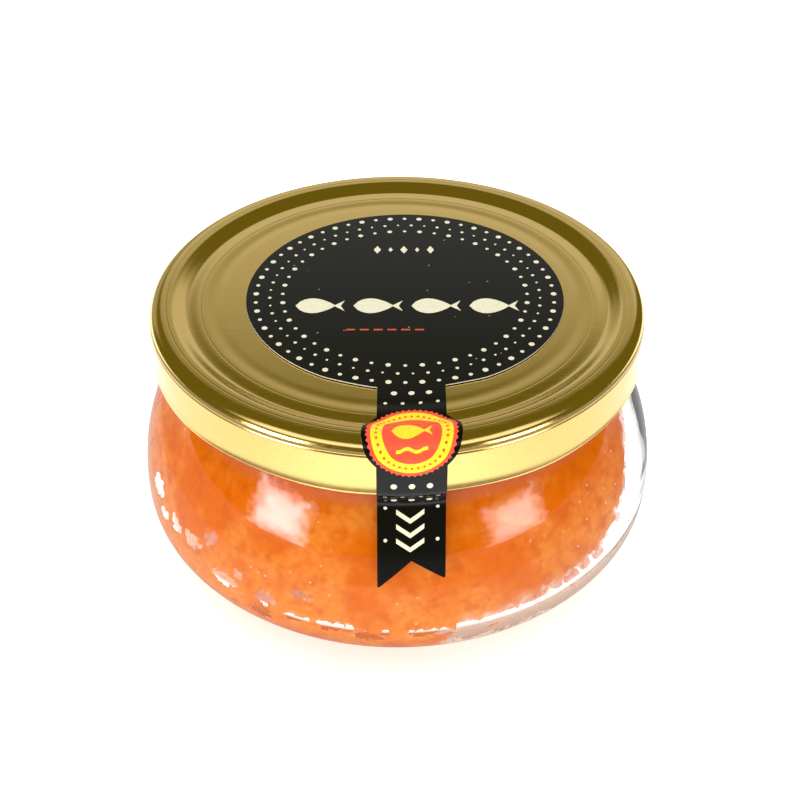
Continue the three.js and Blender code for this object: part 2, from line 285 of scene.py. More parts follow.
def makeLabelBlack():
    material, tree, shader = newMaterial("glossFilmedPaper")
    shader.inputs["Roughness"].default_value = labelFinish["roughness"]
    shader.inputs["Specular IOR Level"].default_value = labelFinish["gloss"]
    place = addNode(tree, "ShaderNodeTexCoord").outputs["Object"]
    dust = addNode(tree, "ShaderNodeTexVoronoi", {
        "Vector": place, "Scale": 1 / (labelFinish["dust"] * toMetres),
    })
    speck = remap(tree, dust.outputs["Distance"], (0.045, 0.02), (0.0, 0.8))
    colour = blendColours(tree, speck, hexColour(labelFinish["colour"]), hexColour(labelFinish["dustColour"]))
    tree.links.new(colour, shader.inputs["Base Color"])
    wrinkles = addNode(tree, "ShaderNodeTexNoise", {
        "Vector": place, "Scale": 1 / (labelFinish["wrinkle"] * toMetres), "Detail": 2.0,
    })
    height = addNode(tree, "ShaderNodeSeparateXYZ", {"Vector": place}).outputs["Z"]
    wrinkleZ = [labelFinish[name] * toMetres for name in ("smoothAboveZ", "wrinkledBelowZ")]
    bump = addNode(tree, "ShaderNodeBump", {
        "Height": wrinkles.outputs["Fac"], "Distance": labelFinish["wrinkleHeight"],
        "Strength": remap(tree, height, wrinkleZ, (0.05, 0.9)),
    })
    tree.links.new(bump.outputs["Normal"], shader.inputs["Normal"])
    return material


# Uncoated paper where the label was die cut.
def makePaperEdge():
    material, tree, shader = newMaterial("dieCutPaperEdge")
    shader.inputs["Roughness"].default_value = labelFinish["edgeRoughness"]
    place = addNode(tree, "ShaderNodeTexCoord").outputs["Object"]
    fibreScale = 1 / (labelFinish["fibre"] * toMetres)
    fibres = addNode(tree, "ShaderNodeTexNoise", {"Vector": place, "Scale": fibreScale, "Detail": 2.0})
    full = hexColour(labelFinish["edge"])
    tint = blendColours(tree, fibres.outputs["Fac"], tuple(c * 0.7 for c in full[:3]) + (1.0,), full)
    tree.links.new(tint, shader.inputs["Base Color"])
    return material


# Offset inks, faintly uneven in how much of the paper they let through.
inkFinish = {"roughness": 0.35, "patchScale": 1800.0}  # patches of about half a millimetre
inks = {"cream": "#ddd6b8", "red": "#c8452a", "sealYellow": "#f7d40a", "sealRed": "#ee4a26"}


def makeInk(name, code):
    material, tree, shader = newMaterial(name + "Ink")
    shader.inputs["Roughness"].default_value = inkFinish["roughness"]
    where = addNode(tree, "ShaderNodeTexCoord")
    patch = addNode(tree, "ShaderNodeTexNoise", {
        "Vector": where.outputs["Object"], "Scale": inkFinish["patchScale"], "Detail": 2.0,
    })
    full = hexColour(code)
    tint = addNode(tree, "ShaderNodeValToRGB", {"Fac": patch.outputs["Fac"]})
    setRamp(tint, [(0.3, tuple(c * 0.88 for c in full[:3]) + (1.0,)), (0.6, full)])
    tree.links.new(tint.outputs["Color"], shader.inputs["Base Color"])
    return material


# White photographic sweep: matt, and made to glow so brightly that no shadow holds on it. Under the jar a
# painted shadow sits in its glow: the glow drops a little there and takes a faint warm tint. In mirror
# reflections it ends a little in front of the jar, and those on the glass, which are perfectly sharp, see
# only a share of it.
floorFinish = {
    # The glow at the foot, the warm tint and its radius paint a shadow under the jar.
    "colour": "#8c8b89", "glow": 1.55, "footShadeGlow": 0.9, "footShadeTint": "#ffe9dc", "footShadeRadius": (0.058, 0.036),
    "frontRadius": (0.102, 0.12), "backY": (0.06, 0.12), "sideX": (0.035, 0.08), "farShare": 0.04,
    "sideShare": 0.7, "glassShare": 0.3,
}


def makeFloorMaterial():
    material, tree, shader = newMaterial("whiteSweep")
    shader.inputs["Base Color"].default_value = hexColour(floorFinish["colour"])
    shader.inputs["Roughness"].default_value = 0.9
    shader.inputs["Specular IOR Level"].default_value = 0.0
    place = addNode(tree, "ShaderNodeTexCoord").outputs["Object"]
    reach = addNode(tree, "ShaderNodeVectorMath", {0: place}, operation="LENGTH").outputs["Value"]
    # Painted shadow under the jar: towards the foot the glow drops and turns warm.
    footShade = remap(tree, reach, floorFinish["footShadeRadius"], (0.0, 1.0), "SMOOTHSTEP")
    tint = blendColours(tree, footShade, (1.0, 1.0, 1.0, 1.0), hexColour(floorFinish["footShadeTint"]))
    tree.links.new(tint, shader.inputs["Emission Color"])
    along = addNode(tree, "ShaderNodeSeparateXYZ", {"Vector": place}).outputs["Y"]
    front = remap(tree, reach, floorFinish["frontRadius"], (1.0, floorFinish["farShare"]), "SMOOTHSTEP")
    back = remap(tree, along, floorFinish["backY"], (0.0, 1.0))
    across = addNode(tree, "ShaderNodeSeparateXYZ", {"Vector": place}).outputs["X"]
    wide = addNode(tree, "ShaderNodeMath", {0: across}, operation="ABSOLUTE").outputs[0]
    sides = remap(tree, wide, floorFinish["sideX"], (1.0, floorFinish["sideShare"]))
    facing = addNode(tree, "ShaderNodeMath", {0: front, 1: sides}, operation="MULTIPLY").outputs[0]
    lit = addNode(tree, "ShaderNodeMath", {0: facing, 1: back}, operation="MAXIMUM")
    ray = addNode(tree, "ShaderNodeLightPath").outputs
    onGlass = addNode(tree, "ShaderNodeMath", {0: ray["Is Singular Ray"], 1: ray["Is Glossy Ray"]},
                      operation="MULTIPLY").outputs[0]
    shown = addNode(tree, "ShaderNodeMath", {
        0: lit.outputs[0], 1: remap(tree, onGlass, (0.0, 1.0), (1.0, floorFinish["glassShare"])),
    }, operation="MULTIPLY")
    seen = addNode(tree, "ShaderNodeMath", {
        0: ray["Is Transmission Ray"], 1: ray["Is Camera Ray"]}, operation="MAXIMUM")
    share = addNode(tree, "ShaderNodeMath", {0: shown.outputs[0], 1: seen.outputs[0]}, operation="MAXIMUM")
    glow = addNode(tree, "ShaderNodeMath", {
        0: share.outputs[0], 1: remap(tree, footShade, (0.0, 1.0), (floorFinish["glow"], floorFinish["footShadeGlow"])),
    }, operation="MULTIPLY")
    tree.links.new(glow.outputs[0], shader.inputs["Emission Strength"])
    return material


glass = makeGlass()
gold = makeGold()
roeOrange = makeRoe()
labelBlack = makeLabelBlack()
paperEdge = makePaperEdge()
ink = {name: makeInk(name, code) for name, code in inks.items()}
print("materials made")


# Shared shapes


# Turns a half outline of (radius, height) about the jar's axis into one closed shell. An eighth of the
# turn is spun and then doubled three times, which is much quicker than a whole turn.
def spinOutline(points, steps):
    bm = bmesh.new()
    verts = [bm.verts.new((r, 0, z)) for r, z in points]
    edges = [bm.edges.new(pair) for pair in zip(verts, verts[1:])]
    bmesh.ops.spin(bm, geom=verts + edges, cent=(0, 0, 0), axis=(0, 0, 1),
                   angle=math.tau / 8, steps=steps // 8, use_duplicate=False)
    for angle in (math.tau / 8, math.tau / 4, math.tau / 2):
        made = bmesh.ops.duplicate(bm, geom=bm.verts[:] + bm.edges[:] + bm.faces[:])["geom"]
        turned = [item for item in made if isinstance(item, bmesh.types.BMVert)]
        bmesh.ops.rotate(bm, cent=(0, 0, 0), matrix=Matrix.Rotation(angle, 3, "Z"), verts=turned)
    bmesh.ops.remove_doubles(bm, verts=bm.verts, dist=0.0005)
    bmesh.ops.recalc_face_normals(bm, faces=bm.faces)
    return bm


# Brings a mesh to metres, smooths it except at edges sharper than the limit, and puts it on the jar.
def finishPiece(bm, name, material, replaced=(), sharp=35.0):
    bmesh.ops.scale(bm, vec=(toMetres,) * 3, verts=bm.verts)
    for face in bm.faces:
        face.smooth = True
    for edge in bm.edges:
        if len(edge.link_faces) == 2 and edge.calc_face_angle() > math.radians(sharp):
            edge.smooth = False
    mesh = bpy.data.meshes.new(name)
    bm.to_mesh(mesh)
    bm.free()
    mesh.materials.append(material)
    piece = bpy.data.objects.new(name, mesh)
    bpy.context.scene.collection.objects.link(piece)
    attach(piece, "root")
    if replaced:
        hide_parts(*replaced)
    print(name, len(mesh.polygons), "faces")
    return piece


# Glass jar. Its outside and inside follow the solid's own curves.
glassLow, glassHigh = cadBox("glass_jar")
capLow, capHigh = cadBox("lug_cap")
jar = {
    "bellyRadius": glassHigh.x,
    "bellyZ": 15.6,
    "neckRadius": 37.0,
    "neckZ": capLow.z,
    "shoulderPower": 2.13,
    "heelDepth": 17.1,
    "heelPower": 2.42,
    "wall": 2.4,
    "floor": 4.2,
    "ringWidth": 3.2,
    "ringRound": 0.7,
    "pushUp": 1.2,
    "finishRadius": 38.5,
    "finishBeadRadius": 40.6,
    "finishBeadZ": 43.6,
    "mouthRadius": 36.7,
    "mouthZ": glassHigh.z,
    "steps": 256,
    "rows": 26,
}


def glassRadius(z):
    if z < jar["bellyZ"]:
        down = (jar["bellyZ"] - z) / jar["heelDepth"]
        return jar["bellyRadius"] * (1 - down ** jar["heelPower"]) ** (1 / jar["heelPower"])
    up = (z - jar["bellyZ"]) / (jar["neckZ"] - jar["bellyZ"])
    return jar["neckRadius"] + (jar["bellyRadius"] - jar["neckRadius"]) * (1 - up ** jar["shoulderPower"])


def bowlRadius(z):
    if z >= jar["bellyZ"]:
        return max(glassRadius(z) - jar["wall"], jar["mouthRadius"])
    down = (jar["bellyZ"] - z) / (jar["bellyZ"] - jar["floor"])
    inner = jar["bellyRadius"] - jar["wall"]
    return inner * max(1 - down ** jar["heelPower"], 0.0) ** (1 / jar["heelPower"])


# Heights from one to another, close together near the first, where the wall curves in.
def easedHeights(start, end, steps):
    return [mix(start, end, 1 - math.cos(i / steps * math.pi / 2)) for i in range(1, steps + 1)]


def jarOutline():
    ring = glassRadius(0)
    inner = ring - jar["ringWidth"]
    rounding = jar["ringRound"]
    bead, beadZ = jar["finishBeadRadius"], jar["finishBeadZ"]
    finish, mouth, top = jar["finishRadius"], jar["mouthRadius"], jar["mouthZ"]
    points = [(0, jar["pushUp"]), (inner - 9, jar["pushUp"])]
    points += quadCurve((inner - 5, jar["pushUp"]), (inner - 2.2, jar["pushUp"]), (inner - 0.9, 0.45), 6)
    points += quadCurve((inner - 0.9, 0.45), (inner - 0.2, 0.0), (inner + 0.5, 0.0), 4)
    points += [(ring - rounding, 0.0)]
    roundZ = 0.35
    points += quadCurve((ring - rounding, 0.0), (ring + 0.1, 0.0), (glassRadius(roundZ), roundZ), 4)
    for z in easedHeights(roundZ, jar["bellyZ"], jar["rows"]):
        points.append((glassRadius(z), z))
    shoulderTop = jar["neckZ"] - 2.0
    for i in range(1, jar["rows"] + 1):
        z = mix(jar["bellyZ"], shoulderTop, i / jar["rows"])
        points.append((glassRadius(z), z))
    points += quadCurve(points[-1], (finish, shoulderTop + 1.2), (finish, beadZ - 1.3), 5)
    points += arcCurve((bead - 0.8, beadZ), (0.8, 1.1), -80, 80, 8)
    points += [(finish + 0.9, beadZ + 1.5), (finish + 0.9, top - 1.2)]
    points += arcCurve(((finish + 0.9 + mouth) / 2, top - 1.1), ((finish + 0.9 - mouth) / 2, 1.1), 0, 180, 10)
    points += [(mouth, jar["neckZ"])]
    for i in range(1, jar["rows"] + 1):
        z = mix(jar["neckZ"] - 1.5, jar["bellyZ"], i / jar["rows"])
        points.append((bowlRadius(z), z))
    for i in range(1, jar["rows"]):
        z = mix(jar["bellyZ"], jar["floor"], math.sin(i / jar["rows"] * math.pi / 2))
        points.append((bowlRadius(z), z))
    points.append((0, jar["floor"]))
    return points


def makeJar():
    bm = spinOutline(jarOutline(), jar["steps"])
    return finishPiece(bm, "glassJar", glass, ["glass_jar"], sharp=60)


# Lug cap. The tinplate's outside and inside, with a rolled curl pressed in at each lug. Its top is given
# as (radius, rise above the skirt's top): a flat panel, a pressed ring, a shallow groove and the bead.
cap = {
    "skirtRadius": 42.6,
    "skirtTopZ": capHigh.z - 1.98,
    "panel": (29.8, 1.0),
    "dip": (31.4, 0.975),
    "ring": (33.75, 1.04),
    "groove": (36.1, 0.93),
    "wallRound": 0.35,
    "beadStart": (38.8, 1.96),
    "fold": (39.6, 1.98),
    "crest": (40.4, 1.98),
    "creaseDepth": 0.03,
    "creaseHalf": 0.12,
    "sheet": 0.3,
    "curlRadius": 0.65,
    "flare": 0.12,
    "lugCount": 8,
    "lugReach": 1.6,
    "lugLift": 0.45,
    "lugTurn": -12.0,
    "steps": 384,
}
cap["bottomZ"] = cap["skirtTopZ"] - 8.0
cap["curlZ"] = cap["bottomZ"] + cap["curlRadius"]
cap["curlR"] = cap["skirtRadius"] + cap["flare"] - cap["curlRadius"]


# A narrow pressed line across the surface at a point, with supports so that its shading stays narrow.
def creaseAt(place, slope):
    r, z = place
    half, deep = cap["creaseHalf"], cap["creaseDepth"]
    return [(r + step * half, z + step * half * slope - (deep if step == 0 else 0))
            for step in (-1.6, -1, 0, 1, 1.6)]


# A run from one point to another that starts and ends level.
def easedRun(start, end, steps):
    return [(mix(start[0], end[0], i / steps), mix(start[1], end[1], smooth(0, steps, i)))
            for i in range(1, steps + 1)]


# The cap's surface from its middle to the top of the skirt, inset for the underside.
def capPath(inset, steps):
    top = cap["skirtTopZ"] - inset
    panel, dip, ring, groove, beadStart, fold, crest = (
        (cap[name][0], top + cap[name][1])
        for name in ("panel", "dip", "ring", "groove", "beadStart", "fold", "crest"))
    points = [(0, panel[1]), (panel[0] - 0.6, panel[1]), panel]
    points += easedRun(panel, dip, 5) + easedRun(dip, (ring[0] - 0.3, ring[1]), 8)
    points += [ring] if inset else creaseAt(ring, 0.0)
    points += easedRun(points[-1], groove, steps)
    middle = (mix(groove[0], beadStart[0], 0.5), mix(groove[1], beadStart[1], 0.5))
    points += quadCurve(groove, (groove[0] + cap["wallRound"], groove[1]), middle, steps)
    points += quadCurve(middle, (beadStart[0] - cap["wallRound"], beadStart[1]), beadStart, steps)
    points += [fold] if inset else creaseAt(fold, 0.0)
    points += [crest]
    reach = (cap["skirtRadius"] - crest[0] - inset, cap["crest"][1] - inset)
    points += arcCurve((crest[0], cap["skirtTopZ"]), reach, 90, 0, steps)[1:]
    return points


def capOutline():
    outside = capPath(0, 16)
    top, r = cap["skirtTopZ"], cap["skirtRadius"]
    outside += [(r, top - 0.05), (r - 0.09, top - 0.2), (r, top - 0.36), (r, top - 0.5)]
    skirtFoot = cap["curlZ"] + 0.7
    for i in range(1, 6):
        outside.append((r, mix(top - 0.5, skirtFoot, i / 5)))
    curl = arcCurve((cap["curlR"], cap["curlZ"]), (cap["curlRadius"],) * 2, 12, -190, 18)
    inside = [(r - cap["sheet"], skirtFoot)]
    inside += reversed(capPath(cap["sheet"], 8))
    return outside + curl + inside


def makeCap():
    bm = spinOutline(capOutline(), cap["steps"])
    plainZ = cap["curlZ"] + 0.7
    for vert in bm.verts:
        x, y, z = vert.co
        if z > plainZ or math.hypot(x, y) < 1:
            continue
        angle = math.atan2(x, -y) - math.radians(cap["lugTurn"])
        lug = 0.5 + 0.5 * math.cos(cap["lugCount"] * angle)
        r = math.hypot(x, y)
        pressed = cap["lugReach"] * lug ** 2 * smooth(cap["curlR"] + 0.2, cap["curlR"] - cap["curlRadius"], r)
        lift = cap["lugLift"] * (1 - lug) * smooth(plainZ, cap["curlZ"] - cap["curlRadius"], z)
        vert.co = (x * (1 - pressed / r), y * (1 - pressed / r), z + lift)
    return finishPiece(bm, "lugCap", gold, ["lug_cap"])


# Roe. It reaches just into the glass wall where it is pressed on it, and stands back at air pockets.
# Turns are in degrees from the front, to the right; heights and gaps are in millimetres.
roe = {
    "reach": 0.08,
    "topZ": 46.2,
    "grain": 1.15,
    "columns": 520,
    "rows": 120,
    # Below this line of (turn, height) the right side has settled away from the glass.
    "airLine": [(6, 0), (13, 14.6), (25, 15.8), (33, 16.6), (46, 18), (53, 19.8), (58, 23), (63, 25.6),
                (66, 30), (70, 33.5), (80, 36.5), (118, 36.5), (132, 20), (150, 0)],
    "airDepth": (3.4, 1.7),
    "airDepthZ": (14, 26),
    "footZ": (9.0, 12.5),  # below these heights the roe lies against the glass again
    # Single pockets: (turn, height, half width in degrees, half height).
    "pockets": [
        (-67, 21, 3, 1.5), (-63, 17.4, 1.8, 1.0), (-57, 18.8, 1.6, 1.2), (-50.5, 18.4, 2.2, 1.1),
        (-39.5, 15.3, 3.2, 1.2), (-29.5, 15.6, 2.0, 1.0), (-31, 11.4, 2.2, 0.9), (-22.3, 13.4, 2.4, 0.9),
        (-13.1, 13.2, 4.2, 1.0), (-6.4, 11.6, 2.4, 0.8), (-2.7, 12.9, 1.6, 0.6), (7, 12.6, 4.6, 0.9),
        (-20, 18.5, 2, 0.9), (-44, 21.5, 1.6, 1.3), (-35, 18.4, 1.4, 0.8),
    ],
    "pocketDepth": 1.3,
    # The share of painted whitish glare at the pockets; the back patches below get their own share.
    "pocketGlare": 0.3,
    "backPatch": 6.0,
    "backTurn": (72, 84),
    "backTopZ": 34,
    "backGlare": 0.7,
    # Clumps stuck on the glass: (turn, height, half width, half height).
    "clumps": [
        (9.8, 16.1, 2.7, 1.6), (21.2, 11.5, 1.3, 0.9), (25.9, 11.2, 1.4, 1.0), (32.5, 12.2, 2.2, 2.1),
        (38, 12.9, 0.9, 1.0), (41.8, 13.9, 1.4, 1.3), (51.9, 13.6, 1.1, 1.3), (63, 15.6, 0.8, 0.9),
        (16, 14.6, 1.2, 0.8), (46.5, 14.6, 0.8, 0.6),
    ],
    "eggRadius": 0.56,
    "looseCount": 1100,
    "seed": 7,
}


# The line's height at a turn.
def lineHeight(turn):
    line = roe["airLine"]
    if turn <= line[0][0] or turn >= line[-1][0]:
        return -10.0
    for (turnA, zA), (turnB, zB) in zip(line, line[1:]):
        if turn <= turnB:
            return mix(zA, zB, (turn - turnA) / (turnB - turnA))
    return -10.0


# How far the roe stands back from the glass at a place on the wall, and how loose it lies there, 0 to 1,
# which sets how much painted whitish glare of the air gaps it gets.
def airGap(place):
    x, y, z = place
    turn = math.degrees(math.atan2(x, -y))
    ragged = noise.noise(place / 2.4) + 0.5 * noise.noise(place / 1.0)
    depth = mix(*roe["airDepth"], smooth(*roe["airDepthZ"], z))
    below = lineHeight(turn) - z + 1.1 * ragged
    gap = depth * smooth(-0.2, 5.0, below) * smooth(*roe["footZ"], z)
    airGlare = smooth(-3.0, 5.0, below)
    for turn0, z0, halfTurn, halfZ in roe["pockets"]:
        far = math.hypot((turn - turn0) / halfTurn, (z - z0) / halfZ)
        if far < 2.4:
            gap = max(gap, roe["pocketDepth"] * smooth(1.15, 0.7, far + 0.45 * ragged))
            airGlare = max(airGlare, roe["pocketGlare"] * smooth(1.6, 0.8, far + 0.7 * ragged))
    if abs(turn) > roe["backTurn"][0] and z < roe["backTopZ"]:
        patch = noise.noise(place / roe["backPatch"]) + 0.4 * ragged
        limit = mix(0.7, 0.4, smooth(26, 6, z)) + (1 - smooth(*roe["backTurn"], abs(turn)))
        gap = max(gap, roe["pocketDepth"] * smooth(limit, limit + 0.16, patch))
        airGlare = max(airGlare, roe["backGlare"] * smooth(limit - 0.25, limit + 0.1, patch))
    return gap, airGlare


def roeOutline():
    points = [(0, jar["floor"] - roe["reach"])]
    rows = roe["rows"]
    heelRows = int(rows * 0.42)
    reach = roe["reach"]
    for i in range(heelRows, 0, -1):
        z = mix(jar["bellyZ"], jar["floor"], math.sin(i / (heelRows + 1) * math.pi / 2))
        points.append((bowlRadius(z) + reach, z - reach * 0.5))
    for i in range(rows - heelRows):
        z = mix(jar["bellyZ"], roe["topZ"], i / (rows - heelRows - 1))
        points.append((bowlRadius(z) + reach, z))
    rim = points[-1][0]
    for share in (0.97, 0.9, 0.75, 0.5, 0.25):
        points.append((rim * share, roe["topZ"] + (1 - share) * 0.7))
    points.append((0, roe["topZ"] + 0.7))
    return points


def makeRoeCore():
    bm = spinOutline(roeOutline(), roe["columns"])
    bm.normal_update()
    wallTop = roe["topZ"] - 0.3
    airGlareMask = bm.verts.layers.float.new("airGlareMask")
    for vert in bm.verts:
        x, y, z = vert.co
        if math.hypot(x, y) < 3 or z > wallTop:
            continue
        distances, centres = noise.voronoi(vert.co / roe["grain"])
        gap, airGlare = airGap(centres[0] * roe["grain"])
        # Keeps the share of painted whitish glare for the material.
        vert[airGlareMask] = airGlare
        if gap > 0.02:
            grain = min((distances[1] - distances[0]) * 1.6, 1.0)
            vert.co -= vert.normal * gap * (1 - 0.4 * grain / (1 + gap))
    bmesh.ops.recalc_face_normals(bm, faces=bm.faces)
    return finishPiece(bm, "roeCore", roeOrange, ["roe"], sharp=80)


# A place on the bowl's wall and the direction into the bowl there.
def wallPlace(turn, z):
    angle = math.radians(turn)
    step = 0.05
    slope = (bowlRadius(z + step) - bowlRadius(z - step)) / (2 * step)
    outward = Vector((math.sin(angle), -math.cos(angle), 0))
    inward = (-outward + Vector((0, 0, slope))).normalized()
    return outward * bowlRadius(z) + Vector((0, 0, z)), inward


# Single eggs: in clumps that stick to the glass, and scattered where the roe lies loose.
def makeLooseEggs():
    chance = random.Random(roe["seed"])
    radius = roe["eggRadius"]
    spots = []
    for turn0, z0, halfWide, halfHigh in roe["clumps"]:
        for i in range(int(halfWide * halfHigh * 5.5) + 3):
            angle, reach = chance.uniform(0, math.tau), math.sqrt(chance.random())
            turn = turn0 + math.degrees(halfWide * reach * math.cos(angle) / jar["bellyRadius"])
            place, inward = wallPlace(turn, z0 + halfHigh * reach * math.sin(angle))
            spots.append((place + inward * (radius * chance.uniform(0.75, 1.9)), chance.uniform(0.0, 0.3)))
    while len(spots) < roe["looseCount"]:
        turn, z = chance.uniform(8, 148), chance.uniform(5.5, 36)
        place, inward = wallPlace(turn, z)
        gap, airGlare = airGap(place)
        if gap > 0.35:
            spots.append((place + inward * max(gap - radius * 0.4, radius * 0.9), chance.uniform(0.2, 0.7)))
    egg = bmesh.new()
    bmesh.ops.create_uvsphere(egg, u_segments=7, v_segments=5, radius=radius)
    bm = bmesh.new()
    # Each egg keeps a share of painted whitish glare for the material.
    airGlareMask = bm.verts.layers.float.new("airGlareMask")
    for spot, airGlare in spots:
        turned = Matrix.Rotation(chance.uniform(0, math.tau), 3, "X") * chance.uniform(0.88, 1.08)
        placed = {}
        for vert in egg.verts:
            placed[vert] = bm.verts.new(spot + turned @ vert.co)
            placed[vert][airGlareMask] = airGlare
        for face in egg.faces:
            bm.faces.new([placed[vert] for vert in face.verts])
    egg.free()
    return finishPiece(bm, "looseEggs", roeOrange, sharp=180)


# Flat stickers. They are drawn in the paper's own plane, across and along the strip, and then laid
# on the lid's and the glass's surface.
label = {
    "gap": 0.14,
    "paper": 0.2,
    "discRadius": 27.35,
    "discX": 1.35,
    "discY": -0.1,
    "stripX": 2.3,
    "stripWidth": 10.8,
    "bulgeRadius": 7.7,
    "sealPastCrest": -0.3,
    "forkPastCrest": 29.4,
    "forkDepth": 4.2,
    "forkSkew": 0.7,
    "tipRound": 0.5,
    "tuck": (39.6, 38.0),
    "contactZ": 36.4,
    "row": 0.4,
    "column": 1.2,
    "bendFrom": 22.0,
    "roundFrom": (24, 31),
    "bendEase": 0.9,
    "lowestZ": 8.0,
}
seal = {
    "radius": 6.75, "tooth": 0.35, "teeth": 48, "paper": 0.13, "film": 0.02,
    "yellowRadius": 6.3, "fieldRadius": 4.55, "dotRing": 5.45, "dot": 0.22, "dotCount": 36,
}
seal["low"] = label["gap"] + label["paper"] + 0.12


def stripLine():
    points = capPath(0, 24)
    crestAt = len(points) - 25
    curl = (cap["skirtRadius"] + cap["flare"], cap["curlZ"])
    contact = (glassRadius(label["contactZ"]), label["contactZ"])
    skirtTop = points[-1]
    points += [(mix(skirtTop[0], curl[0], i / 24), mix(skirtTop[1], curl[1], i / 24)) for i in range(1, 25)]
    points += quadCurve(curl, label["tuck"], contact, 24)
    for i in range(1, 60):
        z = mix(label["contactZ"], label["lowestZ"], i / 59)
        points.append((glassRadius(z), z))
    lengths = [0.0]
    for a, b in zip(points, points[1:]):
        lengths.append(lengths[-1] + math.hypot(b[0] - a[0], b[1] - a[1]))
    return points, lengths, lengths[crestAt]


stripPoints, stripLengths, toCrest = stripLine()
sealAt = toCrest + label["sealPastCrest"]


# The strip's line at a length along it: (radius, height) and its direction.
def stripPlace(along):
    low, high = 0, len(stripLengths) - 1
    while high - low > 1:
        middle = (low + high) // 2
        if stripLengths[middle] <= along:
            low = middle
        else:
            high = middle
    a, b = stripPoints[low], stripPoints[high]
    span = stripLengths[high] - stripLengths[low]
    t = (along - stripLengths[low]) / span
    return (mix(a[0], b[0], t), mix(a[1], b[1], t)), ((b[0] - a[0]) / span, (b[1] - a[1]) / span)


# Lays a point of the paper's plane on its carrier. Bends are eased over a millimetre, as paper does.
def onCarrier(across, along, height):
    if along < label["bendFrom"]:
        return Vector((across, -along, cap["skirtTopZ"] + cap["panel"][1] + height))
    r = z = wayR = wayZ = 0.0
    samples = 7
    for i in range(samples):
        spot, way = stripPlace(along + (i / (samples - 1) - 0.5) * label["bendEase"])
        r, z = r + spot[0] / samples, z + spot[1] / samples
        wayR, wayZ = wayR + way[0] / samples, wayZ + way[1] / samples
    size = math.hypot(wayR, wayZ)
    r -= wayZ / size * height
    z += wayR / size * height
    curved = -math.sqrt(max(r * r - across * across, 0))
    return Vector((across, mix(-r, curved, smooth(*label["roundFrom"], along)), z))


# Closed flat sheets from their outlines, cut into rows and columns where they have to bend.
def sheetFrom(outlines, low, thick, alongRange, columns=True):
    bm = bmesh.new()
    faces = []
    for outline in outlines:
        faces.append(bm.faces.new([bm.verts.new((x, y, low)) for x, y in outline]))
    grown = bmesh.ops.extrude_face_region(bm, geom=faces)["geom"]
    raised = [item for item in grown if isinstance(item, bmesh.types.BMVert)]
    bmesh.ops.translate(bm, vec=(0, 0, thick), verts=raised)
    row, column = label["row"], label["column"]
    if alongRange:
        start, end = alongRange
        first = math.ceil(start / row)
        for i in range(first, int(end / row) + 1):
            cut(bm, (0, i * row, 0), (0, 1, 0))
        if columns:
            xs = [x for outline in outlines for x, y in outline]
            for i in range(math.ceil(min(xs) / column), int(max(xs) / column) + 1):
                cut(bm, (i * column, 0, 0), (1, 0, 0))
    bmesh.ops.recalc_face_normals(bm, faces=bm.faces)
    return bm


def cut(bm, point, direction):
    geometry = bm.verts[:] + bm.edges[:] + bm.faces[:]
    bmesh.ops.bisect_plane(bm, geom=geometry, plane_co=point, plane_no=direction, dist=0.0001)


def layOnCarrier(bm):
    for vert in bm.verts:
        vert.co = onCarrier(vert.co.x, vert.co.y, vert.co.z)
    bmesh.ops.recalc_face_normals(bm, faces=bm.faces)


# The label's outline: round the disc, down one side of the strip round the bulge, and back up.
def labelOutline():
    half = label["stripWidth"] / 2
    left, right = label["stripX"] - half, label["stripX"] + half
    radius, x0, y0 = label["discRadius"], label["discX"], -label["discY"]
    angleRight = math.degrees(math.asin((right - x0) / radius))
    angleLeft = math.degrees(math.asin((left - x0) / radius))
    disc = arcCurve((x0, y0), (radius, radius), 90 - angleRight, 90 - angleLeft - 360, 150)
    disc.reverse()
    bulge = math.degrees(math.acos(half / label["bulgeRadius"]))
    reach = (label["bulgeRadius"],) * 2
    rightSide = arcCurve((label["stripX"], sealAt), reach, -bulge, bulge, 24)
    leftSide = arcCurve((label["stripX"], sealAt), reach, 180 - bulge, 180 + bulge, 24)
    tip = toCrest + label["forkPastCrest"]
    tipLeft, tipRight, soft = tip + label["forkSkew"], tip - label["forkSkew"], label["tipRound"]
    fork = [(right, tipRight - soft)]
    fork += quadCurve((right, tipRight - soft), (right, tipRight), (right - soft, tipRight - soft * 0.7), 4)
    fork += [(label["stripX"], tip - label["forkDepth"])]
    fork += [(left + soft, tipLeft - soft * 0.9)]
    fork += quadCurve((left + soft, tipLeft - soft * 0.9), (left, tipLeft), (left, tipLeft - soft), 4)
    return disc + rightSide + fork + leftSide


# Gives the faces that stand across the sheet their own material, before the sheet is laid.
def markCutEdge(bm, index):
    bm.normal_update()
    for face in bm.faces:
        if abs(face.normal.z) < 0.5:
            face.material_index = index


def makeLabel():
    tip = toCrest + label["forkPastCrest"]
    bm = sheetFrom([labelOutline()], label["gap"], label["paper"], (label["bendFrom"], tip - 0.2))
    markCutEdge(bm, 1)
    layOnCarrier(bm)
    piece = finishPiece(bm, "label", labelBlack, ["label"], sharp=50)
    piece.data.materials.append(paperEdge)
    return piece


